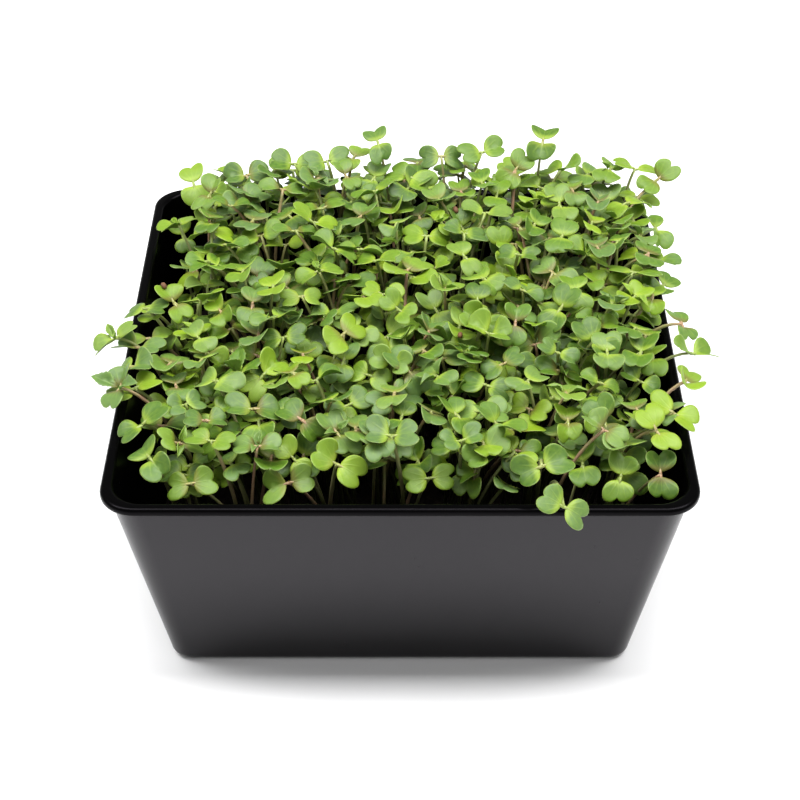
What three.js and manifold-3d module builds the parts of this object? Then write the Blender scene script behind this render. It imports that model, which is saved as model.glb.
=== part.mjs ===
// A square growing tray of young brassica microgreens: the tray, its growing medium and clumps of seedlings.
// Millimetres, +Z up. -Y is the front, and the origin is the centre of the tray's flat underside.
import * as THREE from 'three';
import Module from 'manifold-3d';
import { mergeVertices } from 'three/addons/utils/BufferGeometryUtils.js';

const wasm = await Module();
wasm.setup();

// Driving dimensions of the tray
const HEIGHT = 70.4;
const RIM_HALF = 80; // outside of the lip
const BODY_HALF = 78; // wall just under the lip
const BASE_HALF = 66.9;
const CORNER = 10; // corner radius at the lip
const CORNER_TIGHTENING = 0.3; // how much the corner radius shrinks for each mm the wall lies further in
const WALL = 1.5;
const FLOOR = 1.6;
const BASE_FILLET = 3;
const LIP_DEPTH = 2.4; // how far the lip comes down outside
const LIP_WIDTH = 3.2; // lip seen from above
const CORNER_STEPS = 4;

// Growing medium, and the plain holes in it that the root plugs stand in
const MEDIUM_TOP = 30;
const GAP = 0.4; // clearance between pieces that touch
const PLUG_TOP_RADIUS = 5;
const PLUG_BOTTOM_RADIUS = 3.8;
const PLUG_DEPTH = 10;
const PLUG_SIDES = 6;

// Clumps of seedlings on a jittered square grid
const CLUMPS_A_SIDE = 7;
const CLUMP_SPACING = 19;
const CLUMP_JITTER = 2;
const SEEDLINGS_A_CLUMP = 4;
const ATTEMPTS = 90; // tries at finding a clear place for a seedling
const STEM_SPREAD = 3.2; // stems in a clump stand within this distance of its centre
const STEM_RADIUS = 0.75;
const STEM_ROOT = 26; // stems end this high, inside the plug

// One seed leaf at size 1: half outline from the stalk to the tip, and the notch between its two lobes
const LEAF_OUTLINE = [[1.0, 0.9], [3.4, 4.2], [6.7, 2.9]];
const LEAF_NOTCH = 5.6;
const LEAF_HALF_THICKNESS = 0.38;
const HUB = 0.65; // half length of the joint that carries the two leaves
const HUB_SIDE = 0.8; // half width of that joint
const LEAF_SAG = 0.9 / 8 ** 2; // how far the tip bends down, for each square mm of its distance out
const LEAF_CUP = 0.7 / 4 ** 2; // how far the sides turn up, for each square mm of their distance across
const CLEARANCE = 2.6; // least distance between test points of two seedlings

// Repeatable random numbers from 0 to 1
function seededRandom(seed) {
  let state = seed;
  return () => {
    state = (state * 1664525 + 1013904223) % 4294967296;
    return state / 4294967296;
  };
}

const radians = THREE.MathUtils.degToRad;

// Geometry helpers

function geometryOf(points, triangles) {
  const geometry = new THREE.BufferGeometry();
  geometry.setAttribute('position', new THREE.Float32BufferAttribute(points.flat(), 3));
  geometry.setIndex(triangles.flat());
  return geometry;
}

function solidOf(geometry) {
  const bare = geometry.clone();
  bare.deleteAttribute('normal');
  bare.deleteAttribute('uv');
  const merged = mergeVertices(bare, 1e-4);
  const mesh = new wasm.Mesh({
    numProp: 3,
    vertProperties: Float32Array.from(merged.attributes.position.array),
    triVerts: Uint32Array.from(merged.index.array),
  });
  return new wasm.Manifold(mesh);
}

function geometryOfSolid(solid) {
  const mesh = solid.getMesh();
  const geometry = new THREE.BufferGeometry();
  geometry.setAttribute('position', new THREE.BufferAttribute(mesh.vertProperties, 3));
  geometry.setIndex(new THREE.BufferAttribute(mesh.triVerts, 1));
  return geometry;
}

// A square ring with rounded corners, counter-clockwise seen from above
function squareRing(half, height, corner) {
  const ring = [];
  for (let quarter = 0; quarter < 4; quarter += 1) {
    for (let step = 0; step <= CORNER_STEPS; step += 1) {
      const angle = (quarter + step / CORNER_STEPS) * Math.PI / 2;
      const middle = (quarter + 0.5) * Math.PI / 2;
      const centreX = Math.sign(Math.cos(middle)) * (half - corner);
      const centreY = Math.sign(Math.sin(middle)) * (half - corner);
      ring.push([centreX + corner * Math.cos(angle), centreY + corner * Math.sin(angle), height]);
    }
  }
  return ring;
}

// A closed skin through the rings, from the first, capped flat, to the last, capped flat
function loft(rings) {
  const count = rings[0].length;
  const points = rings.flat();
  const triangles = [];
  for (let level = 0; level < rings.length - 1; level += 1) {
    for (let side = 0; side < count; side += 1) {
      const a = level * count + side;
      const b = level * count + (side + 1) % count;
      triangles.push([a, b, b + count], [a, b + count, a + count]);
    }
  }
  const last = (rings.length - 1) * count;
  for (let side = 1; side < count - 1; side += 1) {
    triangles.push([0, side + 1, side]);
    triangles.push([last, last + side, last + side + 1]);
  }
  return geometryOf(points, triangles);
}

// Points of a quarter round in the tray's section, as [half, height]
function sectionArc(half, height, radius, fromDegrees, toDegrees, steps) {
  const arc = [];
  for (let step = 0; step <= steps; step += 1) {
    const angle = radians(fromDegrees + (toDegrees - fromDegrees) * step / steps);
    arc.push([half + radius * Math.cos(angle), height + radius * Math.sin(angle)]);
  }
  return arc;
}

// Corners get tighter towards the base
function cornerRadius(half) {
  return CORNER - CORNER_TIGHTENING * (RIM_HALF - half);
}

// Outside of the tapered wall at a height
function wallHalf(height) {
  const share = (height - BASE_FILLET) / (HEIGHT - LIP_DEPTH - BASE_FILLET);
  return BASE_HALF + (BODY_HALF - BASE_HALF) * share;
}

function makeTray() {
  const lipFoot = HEIGHT - LIP_DEPTH;
  const outerRound = 1.1;
  const innerRound = 1.1;
  const floorRound = 2;
  const footBevel = 0.6; // on the lip's lower edge
  const innerFloorHalf = wallHalf(FLOOR + floorRound) - WALL;
  const section = [
    ...sectionArc(BASE_HALF - BASE_FILLET, BASE_FILLET, BASE_FILLET, -90, 0, 3),
    [BODY_HALF, lipFoot],
    [RIM_HALF - footBevel, lipFoot + footBevel / 3],
    [RIM_HALF, lipFoot + 1.5 * footBevel],
    ...sectionArc(RIM_HALF - outerRound, HEIGHT - outerRound, outerRound, 0, 90, 3),
    ...sectionArc(RIM_HALF - LIP_WIDTH + innerRound, HEIGHT - innerRound, innerRound, 90, 180, 3),
    ...sectionArc(innerFloorHalf - floorRound, FLOOR + floorRound, floorRound, 0, -90, 2),
  ];
  const rings = section.map(([half, height]) => squareRing(half, height, cornerRadius(half)));
  return loft(rings);
}

// Clump centres

const placing = seededRandom(11);
const clumps = [];
for (let row = 0; row < CLUMPS_A_SIDE; row += 1) {
  for (let column = 0; column < CLUMPS_A_SIDE; column += 1) {
    const middle = (CLUMPS_A_SIDE - 1) / 2;
    const x = (column - middle) * CLUMP_SPACING + CLUMP_JITTER * (2 * placing() - 1);
    const y = (row - middle) * CLUMP_SPACING + CLUMP_JITTER * (2 * placing() - 1);
    clumps.push({ x, y, seedlings: [] });
  }
}

// A tapered plug with its flat top at a height, a little larger or smaller by the margin
function plugGeometry(clump, top, margin) {
  const plug = new THREE.CylinderGeometry(
    PLUG_TOP_RADIUS + margin, PLUG_BOTTOM_RADIUS + margin, PLUG_DEPTH + 2 * margin, PLUG_SIDES);
  plug.rotateX(Math.PI / 2);
  plug.translate(clump.x, clump.y, top - PLUG_DEPTH / 2);
  return plug;
}

function makeMedium() {
  const bottom = FLOOR + GAP;
  const chamfer = 2.4;
  const sizes = [
    [wallHalf(bottom + chamfer) - WALL - GAP - chamfer, bottom],
    [wallHalf(bottom + chamfer) - WALL - GAP, bottom + chamfer],
    [wallHalf(MEDIUM_TOP) - WALL - GAP, MEDIUM_TOP],
  ];
  const rings = sizes.map(([half, height]) => squareRing(half, height, cornerRadius(half) + GAP));
  let solid = solidOf(loft(rings));
  for (const clump of clumps) {
    solid = solid.subtract(solidOf(plugGeometry(clump, MEDIUM_TOP, GAP)));
  }
  return geometryOfSolid(solid);
}

// Seedlings. Each has a foot in the medium, a crown where its two leaves meet, and the leaves' directions.

// Height of the leaf canopy above a point: lower at the front, the left and the right
function canopyHeight(x, y) {
  const front = 76;
  const backRise = 11 * THREE.MathUtils.smoothstep(y, -60, 40);
  const leftDrop = 4 * THREE.MathUtils.smoothstep(-x, 20, 75);
  const rightDrop = 3 * THREE.MathUtils.smoothstep(x, 55, 80);
  return front + backRise - leftDrop - rightDrop;
}

// The outline of the canopy for the crowns: bare at the back left, over the rim at the middle of the left
// and along most of the right, and set back from the front lip
function inCanopy(x, y) {
  let leftEdge = -72;
  if (y > -42) leftEdge = -80;
  if (y > 2) leftEdge = -60;
  const rightEdge = y > -35 ? 81 : 75;
  return x > leftEdge && x < rightEdge && y > -60 && y < 70;
}

// How far a point lies outside a rounded square, negative inside it
function beyondSquare(x, y, half) {
  const across = Math.abs(x) - (half - CORNER);
  const along = Math.abs(y) - (half - CORNER);
  const outside = Math.hypot(Math.max(across, 0), Math.max(along, 0));
  return outside + Math.min(Math.max(across, along), 0) - CORNER;
}

function clearOfTray([x, y, z]) {
  const margin = 2;
  if (z > HEIGHT + margin) return true;
  const inside = beyondSquare(x, y, Math.min(wallHalf(z) - WALL, RIM_HALF - LIP_WIDTH)) < -margin;
  return inside || beyondSquare(x, y, RIM_HALF) > margin;
}

const add = (a, b, scale = 1) => [a[0] + scale * b[0], a[1] + scale * b[1], a[2] + scale * b[2]];
const dot = (a, b) => a[0] * b[0] + a[1] * b[1] + a[2] * b[2];
const cross = (a, b) => [a[1] * b[2] - a[2] * b[1], a[2] * b[0] - a[0] * b[2], a[0] * b[1] - a[1] * b[0]];
const unit = (a) => add([0, 0, 0], a, 1 / Math.hypot(...a));

// Directions at the crown: along the first leaf, across it, and up
function crownAxes(seedling) {
  const tilt = radians(seedling.tilt);
  const lean = radians(seedling.lean);
  const turn = radians(seedling.turn);
  const up = [Math.sin(tilt) * Math.cos(lean), Math.sin(tilt) * Math.sin(lean), Math.cos(tilt)];
  const flat = [Math.cos(turn), Math.sin(turn), 0];
  const along = unit(add(flat, up, -dot(flat, up)));
  return { along, across: cross(up, along), up };
}

// A point of one leaf, out and across from the crown, raised off its middle surface.
// way is 1 for the first leaf and -1 for the second.
function leafPoint(seedling, axes, way, out, side, raised) {
  const lift = radians(way > 0 ? seedling.lifts[0] : seedling.lifts[1]);
  const forward = add(add([0, 0, 0], axes.along, way * Math.cos(lift)), axes.up, Math.sin(lift));
  const normal = add(add([0, 0, 0], axes.along, -way * Math.sin(lift)), axes.up, Math.cos(lift));
  const bend = LEAF_CUP * side ** 2 - LEAF_SAG * out ** 2;
  const start = add(seedling.crown, axes.along, way * HUB);
  let point = add(start, forward, seedling.size * out);
  point = add(point, axes.across, seedling.size * side);
  return add(point, normal, seedling.size * bend + raised);
}

// A point of the curved stem, from 0 at the foot to 1 at the crown. The arch lifts its bend.
function stemPoint(seedling, share) {
  const { foot, crown, arch } = seedling;
  const bendShare = 0.3;
  const bendBelowCrown = 12;
  const elbow = [
    foot[0] + bendShare * (crown[0] - foot[0]),
    foot[1] + bendShare * (crown[1] - foot[1]),
    crown[2] - bendBelowCrown + arch,
  ];
  const weights = [(1 - share) ** 2, 2 * share * (1 - share), share ** 2];
  return add(add(add([0, 0, 0], foot, weights[0]), elbow, weights[1]), crown, weights[2]);
}

// Points spread over the stem and both leaves, to keep seedlings clear of each other
const LEAF_TEST_ROWS = [
  [1.0, [0]], [2.2, [-2.0, 2.0]], [3.5, [-3.9, -1.3, 1.3, 3.9]], [5.0, [-3.5, -1.1, 1.1, 3.5]],
  [6.4, [-2.8, -1.0, 1.0, 2.8]],
];
const STEM_TEST_POINTS = 28;

function testPoints(seedling) {
  const axes = crownAxes(seedling);
  const points = [];
  for (let step = 0; step <= STEM_TEST_POINTS; step += 1) {
    points.push(stemPoint(seedling, step / STEM_TEST_POINTS));
  }
  for (const way of [1, -1]) {
    for (const [out, sides] of LEAF_TEST_ROWS) {
      for (const side of sides) points.push(leafPoint(seedling, axes, way, out, side, 0));
    }
  }
  return points;
}

// Stems of one clump may meet below this height, where they are fused into its plug
const SHARED_HEIGHT = 52;

function boxAround(points, margin) {
  const box = new THREE.Box3();
  for (const point of points) box.expandByPoint(new THREE.Vector3(...point));
  return box.expandByScalar(margin);
}

function isClear(points, clump) {
  if (!points.every((point) => point[2] < MEDIUM_TOP + 2 || clearOfTray(point))) return false;
  const near = boxAround(points, CLEARANCE);
  for (const other of clumps) {
    const lowest = other === clump ? SHARED_HEIGHT : 0;
    for (const { tests, box } of other.seedlings) {
      if (!near.intersectsBox(box)) continue;
      for (const a of points) {
        if (a[2] < lowest) continue;
        for (const b of tests) {
          if (b[2] < lowest || Math.abs(a[0] - b[0]) > CLEARANCE) continue;
          const gap = Math.hypot(a[0] - b[0], a[1] - b[1], a[2] - b[2]);
          if (gap < CLEARANCE) return false;
        }
      }
    }
  }
  return true;
}

// Seedlings that shape the outline, each as [x, y, z of the crown, turn, tilt, lean, arch] in mm and degrees:
// along the back, over the right and left edges, and at the front
const OUTLINE_SEEDLINGS = [
  [-66, 64, 82, 100, 20, 260, 0], [-49, 64, 85, 10, 25, 250, 0], [-34, 65, 88, 0, 20, 270, 0],
  [-23, 63, 91, 20, 30, 260, 0], [-7, 64, 97, 100, 25, 250, 0], [3, 55, 90, 150, 20, 270, 0],
  [13, 64, 92, 0, 35, 270, 0], [26, 65, 93, 20, 25, 300, 0], [35, 64, 85, 60, 20, 90, 0],
  [45, 65, 97, 80, 25, 270, 0], [38, 58, 91, 60, 35, 270, 0], [62, 64, 82, 30, 25, 60, 0],
  [81, 58, 87, 45, 30, 270, 8], [80, 44, 78, 110, 25, 10, 9],
  [79, 30, 76, 160, 25, 10, 9], [79, 14, 77, 60, 25, 0, 8], [82, -7, 78, 110, 30, 350, 10],
  [81, -20, 77, 20, 25, 10, 10], [80, -33, 77, 70, 30, 0, 9], [75, -46, 76, 150, 25, 330, 6],
  [-82, -14, 78, 20, 25, 170, 11], [-73, 2, 76, 100, 25, 150, 5], [-76, -25, 76, 160, 20, 190, 6],
  [-77, -36, 76, 60, 30, 190, 8], [-71, -48, 74, 30, 30, 200, 3], [-69, -60, 71, 120, 30, 230, 2],
  [-70, 50, 75, 40, 25, 170, 3], [-65, 34, 60, 20, 30, 180, 0], [-57, -65, 67, 10, 35, 260, 0],
  [-30, -65, 67, 20, 40, 270, 0], [-17, -63, 72, 150, 30, 280, 0], [8, -63, 67, 10, 35, 280, 0],
  [23, -60, 74, 40, 30, 260, 0], [42, -87, 78, 152, 30, 280, 19], [36, -75, 80, 20, 30, 260, 12],
  [70, -65, 70, 95, 35, 280, 0], [60, -66, 70, 80, 30, 270, 0], [69, -57, 79, 120, 30, 300, 3],
];

function findClump(crown) {
  const inwards = 0.84; // crowns fan out from their clumps
  const crowding = 4; // a clump counts as this much further away for each seedling it has
  let nearest = clumps[0];
  let least = Infinity;
  for (const clump of clumps) {
    const distance = Math.hypot(clump.x - inwards * crown[0], clump.y - inwards * crown[1])
      + crowding * clump.seedlings.length;
    if (distance < least) [nearest, least] = [clump, distance];
  }
  return nearest;
}

function footIn(clump) {
  const angle = 2 * Math.PI * placing();
  const distance = STEM_SPREAD * Math.sqrt(placing());
  return [clump.x + distance * Math.cos(angle), clump.y + distance * Math.sin(angle), STEM_ROOT];
}

function keepIfClear(clump, seedling) {
  seedling.tests = testPoints(seedling);
  if (!isClear(seedling.tests, clump)) return false;
  seedling.box = boxAround(seedling.tests, 0);
  clump.seedlings.push(seedling);
  return true;
}

for (const [x, y, z, turn, tilt, lean, arch] of OUTLINE_SEEDLINGS) {
  const clump = findClump([x, y]);
  const tries = 40;
  for (let attempt = 0; attempt < tries; attempt += 1) {
    const loose = attempt / 10; // a seedling that meets another is moved a little
    const crown = [x, y, z].map((value) => value + loose * (2 * placing() - 1));
    const lifts = [40 * placing() - 12, 40 * placing() - 12];
    const size = 0.95 + 0.15 * placing();
    if (keepIfClear(clump, { foot: footIn(clump), crown, turn, tilt, lean, lifts, size, arch })) break;
  }
}

function drawSeedling(clump) {
  const fanOut = 1.17;
  const reach = 13;
  const x = fanOut * clump.x + reach * (2 * placing() - 1);
  const y = fanOut * clump.y + reach * (2 * placing() - 1);
  const z = canopyHeight(x, y) + 3 - 18 * placing();
  const arch = THREE.MathUtils.clamp(Math.abs(x) - 70, 0, 12); // stems bend over the rim
  const outwards = THREE.MathUtils.radToDeg(Math.atan2(y, x));
  return {
    foot: footIn(clump),
    crown: [x, y, z],
    turn: 180 * placing(),
    tilt: 8 + 30 * placing(),
    lean: outwards + 240 * (placing() - 0.5),
    lifts: [45 * placing() - 15, 45 * placing() - 15],
    size: 0.82 + 0.3 * placing(),
    arch,
  };
}

for (let round = 0; round < SEEDLINGS_A_CLUMP; round += 1) {
  for (const clump of clumps) {
    for (let attempt = 0; attempt < ATTEMPTS && clump.seedlings.length <= round; attempt += 1) {
      const seedling = drawSeedling(clump);
      if (inCanopy(seedling.crown[0], seedling.crown[1])) keepIfClear(clump, seedling);
    }
  }
}

// One seedling as a closed skin: a three-sided stem that carries a plate of two notched leaves.
// The rim of the plate runs round both leaves, and both faces are split alike from the notches.
function seedlingGeometry(seedling) {
  const axes = crownAxes(seedling);
  const leaf = (way, raised) => {
    const rimPoint = (out, side) => leafPoint(seedling, axes, way, out, side, raised);
    const half = (sign) => LEAF_OUTLINE.map(([out, side]) => rimPoint(out, sign * side));
    return [...half(way), rimPoint(LEAF_NOTCH, 0), ...half(-way).reverse()];
  };
  const corner = (out, side, raised) => {
    const flat = add(add(seedling.crown, axes.along, out), axes.across, side);
    return add(flat, axes.up, raised);
  };
  const face = (raised) => [
    corner(HUB, HUB_SIDE, raised), ...leaf(1, raised), corner(HUB, -HUB_SIDE, raised), ...leaf(-1, raised),
    corner(-HUB, 0, raised),
  ];
  const top = face(LEAF_HALF_THICKNESS);
  const bottom = face(-LEAF_HALF_THICKNESS);
  const around = top.length - 1; // rim points; the last point of a face is the third corner of the hub
  const third = around;
  const firstNotch = 4;
  const secondNotch = 12;
  const hub = [0, 8, third];
  const split = [];
  for (const point of [5, 6, 7]) split.push([firstNotch, point, point + 1]);
  split.push([firstNotch, 8, 0]);
  for (const point of [0, 1, 2]) split.push([firstNotch, point, point + 1]);
  for (const point of [13, 14]) split.push([secondNotch, point, point + 1]);
  split.push([secondNotch, 15, 0], [secondNotch, 0, third], [secondNotch, third, 8]);
  for (const point of [8, 9, 10]) split.push([secondNotch, point, point + 1]);

  const points = [...top, ...bottom];
  const under = top.length;
  const triangles = [hub, ...split].map(([a, b, c]) => [a, c, b]);
  for (const [a, b, c] of split) triangles.push([under + a, under + b, under + c]);
  for (let point = 0; point < around; point += 1) {
    const next = (point + 1) % around;
    triangles.push([point, next, under + next], [point, under + next, under + point]);
  }

  let upper = hub.map((point) => under + point);
  const stemRings = [0.55, 0];
  for (const share of stemRings) {
    const centre = stemPoint(seedling, share);
    const first = points.length;
    for (const turn of [50, 310, 180]) {
      const angle = radians(turn + seedling.turn);
      points.push(add(centre, [STEM_RADIUS * Math.cos(angle), STEM_RADIUS * Math.sin(angle), 0]));
    }
    const lower = [first, first + 1, first + 2];
    for (let side = 0; side < 3; side += 1) {
      const next = (side + 1) % 3;
      triangles.push([upper[side], lower[next], lower[side]], [upper[side], upper[next], lower[next]]);
    }
    upper = lower;
  }
  triangles.push(upper);
  return geometryOf(points, triangles);
}

function makeClump(clump) {
  let solid = solidOf(plugGeometry(clump, MEDIUM_TOP - GAP, 0));
  for (const seedling of clump.seedlings) solid = solid.add(solidOf(seedlingGeometry(seedling)));
  return geometryOfSolid(solid);
}

// The object

const trayMaterial = new THREE.MeshStandardMaterial({ color: 0x1c1d1e, roughness: 0.38, metalness: 0 });
const mediumMaterial = new THREE.MeshStandardMaterial({ color: 0x2b2018, roughness: 0.95, metalness: 0 });
const leafColours = [0x7fae2e, 0x6c9c2c, 0x94b93c, 0x5f8f34];

const microgreensTray = new THREE.Group();

function addPiece(name, geometry, material) {
  const mesh = new THREE.Mesh(geometry, material);
  mesh.name = name;
  microgreensTray.add(mesh);
}

addPiece('tray', makeTray(), trayMaterial);
addPiece('soil', makeMedium(), mediumMaterial);
clumps.forEach((clump, index) => {
  const color = leafColours[index % leafColours.length];
  const material = new THREE.MeshStandardMaterial({ color, roughness: 0.55, metalness: 0 });
  addPiece(`clump_${String(index + 1).padStart(2, '0')}`, makeClump(clump), material);
});

export default microgreensTray;
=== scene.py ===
import math

import bpy
import numpy as np
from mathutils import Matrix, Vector, noise


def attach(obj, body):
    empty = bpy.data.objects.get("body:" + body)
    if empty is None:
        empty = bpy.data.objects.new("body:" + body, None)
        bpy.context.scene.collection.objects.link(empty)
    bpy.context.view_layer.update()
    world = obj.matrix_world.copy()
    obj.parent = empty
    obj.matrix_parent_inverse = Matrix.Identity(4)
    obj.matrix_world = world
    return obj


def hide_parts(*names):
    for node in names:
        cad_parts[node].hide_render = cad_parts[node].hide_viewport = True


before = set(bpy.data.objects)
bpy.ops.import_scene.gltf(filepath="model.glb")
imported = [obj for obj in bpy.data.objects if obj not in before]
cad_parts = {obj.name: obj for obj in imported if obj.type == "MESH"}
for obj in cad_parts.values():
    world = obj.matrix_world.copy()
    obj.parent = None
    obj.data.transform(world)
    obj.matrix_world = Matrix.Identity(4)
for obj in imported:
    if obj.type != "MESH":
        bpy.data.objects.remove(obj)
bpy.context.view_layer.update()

MM = 0.001  # lengths below are in millimetres, and meshes are in metres

# Tray, as in the solid model
HEIGHT = 70.4
RIM_HALF = 80  # outside of the lip
BODY_HALF = 78  # wall just under the lip
BASE_HALF = 66.9
CORNER = 10  # corner radius at the lip
CORNER_TIGHTENING = 0.3  # how much the corner radius shrinks for each mm the wall lies further in
WALL = 1.5
FLOOR = 1.6
BASE_FILLET = 3
LIP_DEPTH = 2.4  # how far the lip comes down outside
LIP_WIDTH = 3.2  # lip seen from above
MEDIUM_TOP = 30
GAP = 0.4  # clearance between pieces that touch

# Clumps and seedlings, as in the solid model
CLUMPS_A_SIDE = 7
CLUMP_SPACING = 19
CLUMP_JITTER = 2
SEEDLINGS_A_CLUMP = 4
ATTEMPTS = 90  # tries at finding a clear place for a seedling
STEM_SPREAD = 3.2  # stems in a clump stand within this distance of its centre
STEM_ROOT = 26  # stems end this high, inside the plug
HUB = 0.65  # half length of the joint that carries the two leaves
LEAF_SAG = 0.9 / 8 ** 2  # how far the tip bends down, for each square mm of its distance out
LEAF_CUP = 0.7 / 4 ** 2  # how far the sides turn up, for each square mm of their distance across
CLEARANCE = 2.6  # least distance between test points of two seedlings
SHARED_HEIGHT = 52  # stems of one clump may meet below this height

# What is added here: seedlings between those of the solid model
FILL_SPACING = 8.5  # distance between the places that are tried in each layer
FILL_LAYERS = 3
FILL_LAYER_DEPTH = 6  # each layer of crowns lies this much deeper in the canopy
FILL_ATTEMPTS = 24
FILL_LEAF_CLEARANCE = 1.1
FILL_STEM_CLEARANCE = 0.7
FILL_SPREAD = 8.5  # their stems stand within this distance of a clump's centre
FILL_EDGE = 76  # their crowns stay this close to the middle, from side to side
THIN_FRONT = -30  # in front of this line half of the places stay empty
HIGH_FRONT = -46  # in front of this line the crowns lie less deep


# The seeded rule that places every seedling, with the same draws as in the solid model

def seeded_random(seed):
    state = [seed]

    def draw():
        state[0] = (state[0] * 1664525 + 1013904223) % 4294967296
        return state[0] / 4294967296

    return draw


def smoothstep(value, low, high):
    share = min(max((value - low) / (high - low), 0), 1)
    return share * share * (3 - 2 * share)


def wall_half(height):
    """Half the width of the tapered wall, outside, at a height."""
    share = (height - BASE_FILLET) / (HEIGHT - LIP_DEPTH - BASE_FILLET)
    return BASE_HALF + (BODY_HALF - BASE_HALF) * share


def canopy_height(x, y):
    """Height of the canopy, which rises to the back and is lower at the left and the right."""
    front = 76
    back_rise = 11 * smoothstep(y, -60, 40)
    left_drop = 4 * smoothstep(-x, 20, 75)
    right_drop = 3 * smoothstep(x, 55, 80)
    return front + back_rise - left_drop - right_drop


def in_canopy(x, y):
    """Whether a crown may stand here. The patch at the back left stays bare."""
    left_edge = -72
    if y > -42:
        left_edge = -80
    if y > 2:
        left_edge = -60
    right_edge = 81 if y > -35 else 75
    front_edge, back_edge = -60, 70
    return left_edge < x < right_edge and front_edge < y < back_edge


def beyond_square(points, half):
    """How far points lie outside a rounded square, negative inside it."""
    across = np.abs(points[:, 0]) - (half - CORNER)
    along = np.abs(points[:, 1]) - (half - CORNER)
    outside = np.hypot(np.maximum(across, 0), np.maximum(along, 0))
    return outside + np.minimum(np.maximum(across, along), 0) - CORNER


def clear_of_tray(points):
    """Whether all points are in the medium, above the lip, or well inside or outside the wall."""
    margin = 2
    height = points[:, 2]
    inner_half = np.minimum(wall_half(height) - WALL, RIM_HALF - LIP_WIDTH)
    inside = beyond_square(points, inner_half) < -margin
    outside = beyond_square(points, RIM_HALF) > margin
    return bool(np.all((height < MEDIUM_TOP + margin) | (height > HEIGHT + margin) | inside | outside))


def crown_axes(seedling):
    """Directions of a crown: along its pair of leaves, across them, and up."""
    tilt = math.radians(seedling["tilt"])
    lean = math.radians(seedling["lean"])
    turn = math.radians(seedling["turn"])
    up = np.array([math.sin(tilt) * math.cos(lean), math.sin(tilt) * math.sin(lean), math.cos(tilt)])
    flat = np.array([math.cos(turn), math.sin(turn), 0])
    along = flat - up * flat.dot(up)
    along /= np.linalg.norm(along)
    return along, np.cross(up, along), up


def leaf_points(seedling, way, out, side, raised):
    """Points of one leaf: out and across from the crown, and raised off its middle surface."""
    along, across, up = crown_axes(seedling)
    lift = math.radians(seedling["lifts"][0 if way > 0 else 1])
    forward = along * way * math.cos(lift) + up * math.sin(lift)
    normal = -along * way * math.sin(lift) + up * math.cos(lift)
    out, side, raised = (np.asarray(value, float)[..., None] for value in (out, side, raised))
    bend = LEAF_CUP * side ** 2 - LEAF_SAG * out ** 2
    size = seedling["size"]
    start = seedling["crown"] + along * way * HUB
    return start + forward * size * out + across * size * side + normal * (size * bend + raised)


def stem_points(seedling, share):
    """Points of the curved stem, by their share of the way from foot to crown."""
    bend_share = 0.3
    bend_below_crown = 12
    foot, crown = seedling["foot"], seedling["crown"]
    elbow = foot + bend_share * (crown - foot)
    elbow[2] = crown[2] - bend_below_crown + seedling["arch"]
    share = np.asarray(share, float)[..., None]
    return (1 - share) ** 2 * foot + 2 * share * (1 - share) * elbow + share ** 2 * crown


# Test points of a leaf in mm, as the distance out of a row and the distances across in it
LEAF_TEST_ROWS = [
    (1.0, [0]), (2.2, [-2.0, 2.0]), (3.5, [-3.9, -1.3, 1.3, 3.9]),
    (5.0, [-3.5, -1.1, 1.1, 3.5]), (6.4, [-2.8, -1.0, 1.0, 2.8]),
]
TEST_OUT = np.array([out for out, sides in LEAF_TEST_ROWS for _ in sides])
TEST_SIDE = np.array([side for _, sides in LEAF_TEST_ROWS for side in sides])
STEM_TEST_POINTS = 28
TESTS_A_SEEDLING = STEM_TEST_POINTS + 1 + 2 * len(TEST_OUT)


def test_points(seedling):
    """Points along the stem and on both leaves, which keep their distance from other seedlings."""
    stem = stem_points(seedling, np.arange(STEM_TEST_POINTS + 1) / STEM_TEST_POINTS)
    leaves = [leaf_points(seedling, way, TEST_OUT, TEST_SIDE, np.zeros(len(TEST_OUT))) for way in (1, -1)]
    return np.concatenate([stem] + leaves)


MOST_SEEDLINGS = 1000  # there is room for the test points of this many
taken_points = np.zeros((MOST_SEEDLINGS * TESTS_A_SEEDLING, 3))
taken_clump = np.zeros(MOST_SEEDLINGS * TESTS_A_SEEDLING, int)
taken_is_leaf = np.tile(np.arange(TESTS_A_SEEDLING) > STEM_TEST_POINTS, MOST_SEEDLINGS)
taken_count = 0


def any_closer(mine, others, clearance):
    """Whether a point of one set is closer to one of the other set than the clearance."""
    if len(mine) == 0 or len(others) == 0:
        return False
    return np.linalg.norm(mine[:, None] - others[None], axis=2).min() < clearance


def around(others, points, margin):
    """Which of the others are in the box around the points, made larger by a margin."""
    low, high = points.min(axis=0) - margin, points.max(axis=0) + margin
    return np.all((others > low) & (others < high), axis=1)


def is_clear(points, clump):
    """The test of the solid model: the stems of one clump may meet low down."""
    taken = taken_points[:taken_count]
    near = around(taken, points, CLEARANCE)
    own = taken_clump[:taken_count] == clump["number"]
    high = points[points[:, 2] >= SHARED_HEIGHT]
    return not (any_closer(points, taken[near & ~own], CLEARANCE)
                or any_closer(high, taken[near & own & (taken[:, 2] >= SHARED_HEIGHT)], CLEARANCE))


def is_clear_filler(points, clump):
    """A looser test for the seedlings added here, whose stems stand closer than their leaves."""
    taken = taken_points[:taken_count]
    near = around(taken, points, FILL_LEAF_CLEARANCE)
    leaves = taken[near & taken_is_leaf[:taken_count]]
    stems = taken[near & ~taken_is_leaf[:taken_count]]
    own_stem, own_leaves = points[:STEM_TEST_POINTS + 1], points[STEM_TEST_POINTS + 1:]
    return not (any_closer(own_leaves, leaves, FILL_LEAF_CLEARANCE)
                or any_closer(own_leaves, stems, FILL_STEM_CLEARANCE)
                or any_closer(own_stem, leaves, FILL_STEM_CLEARANCE)
                or any_closer(own_stem, stems, FILL_STEM_CLEARANCE))


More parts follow.
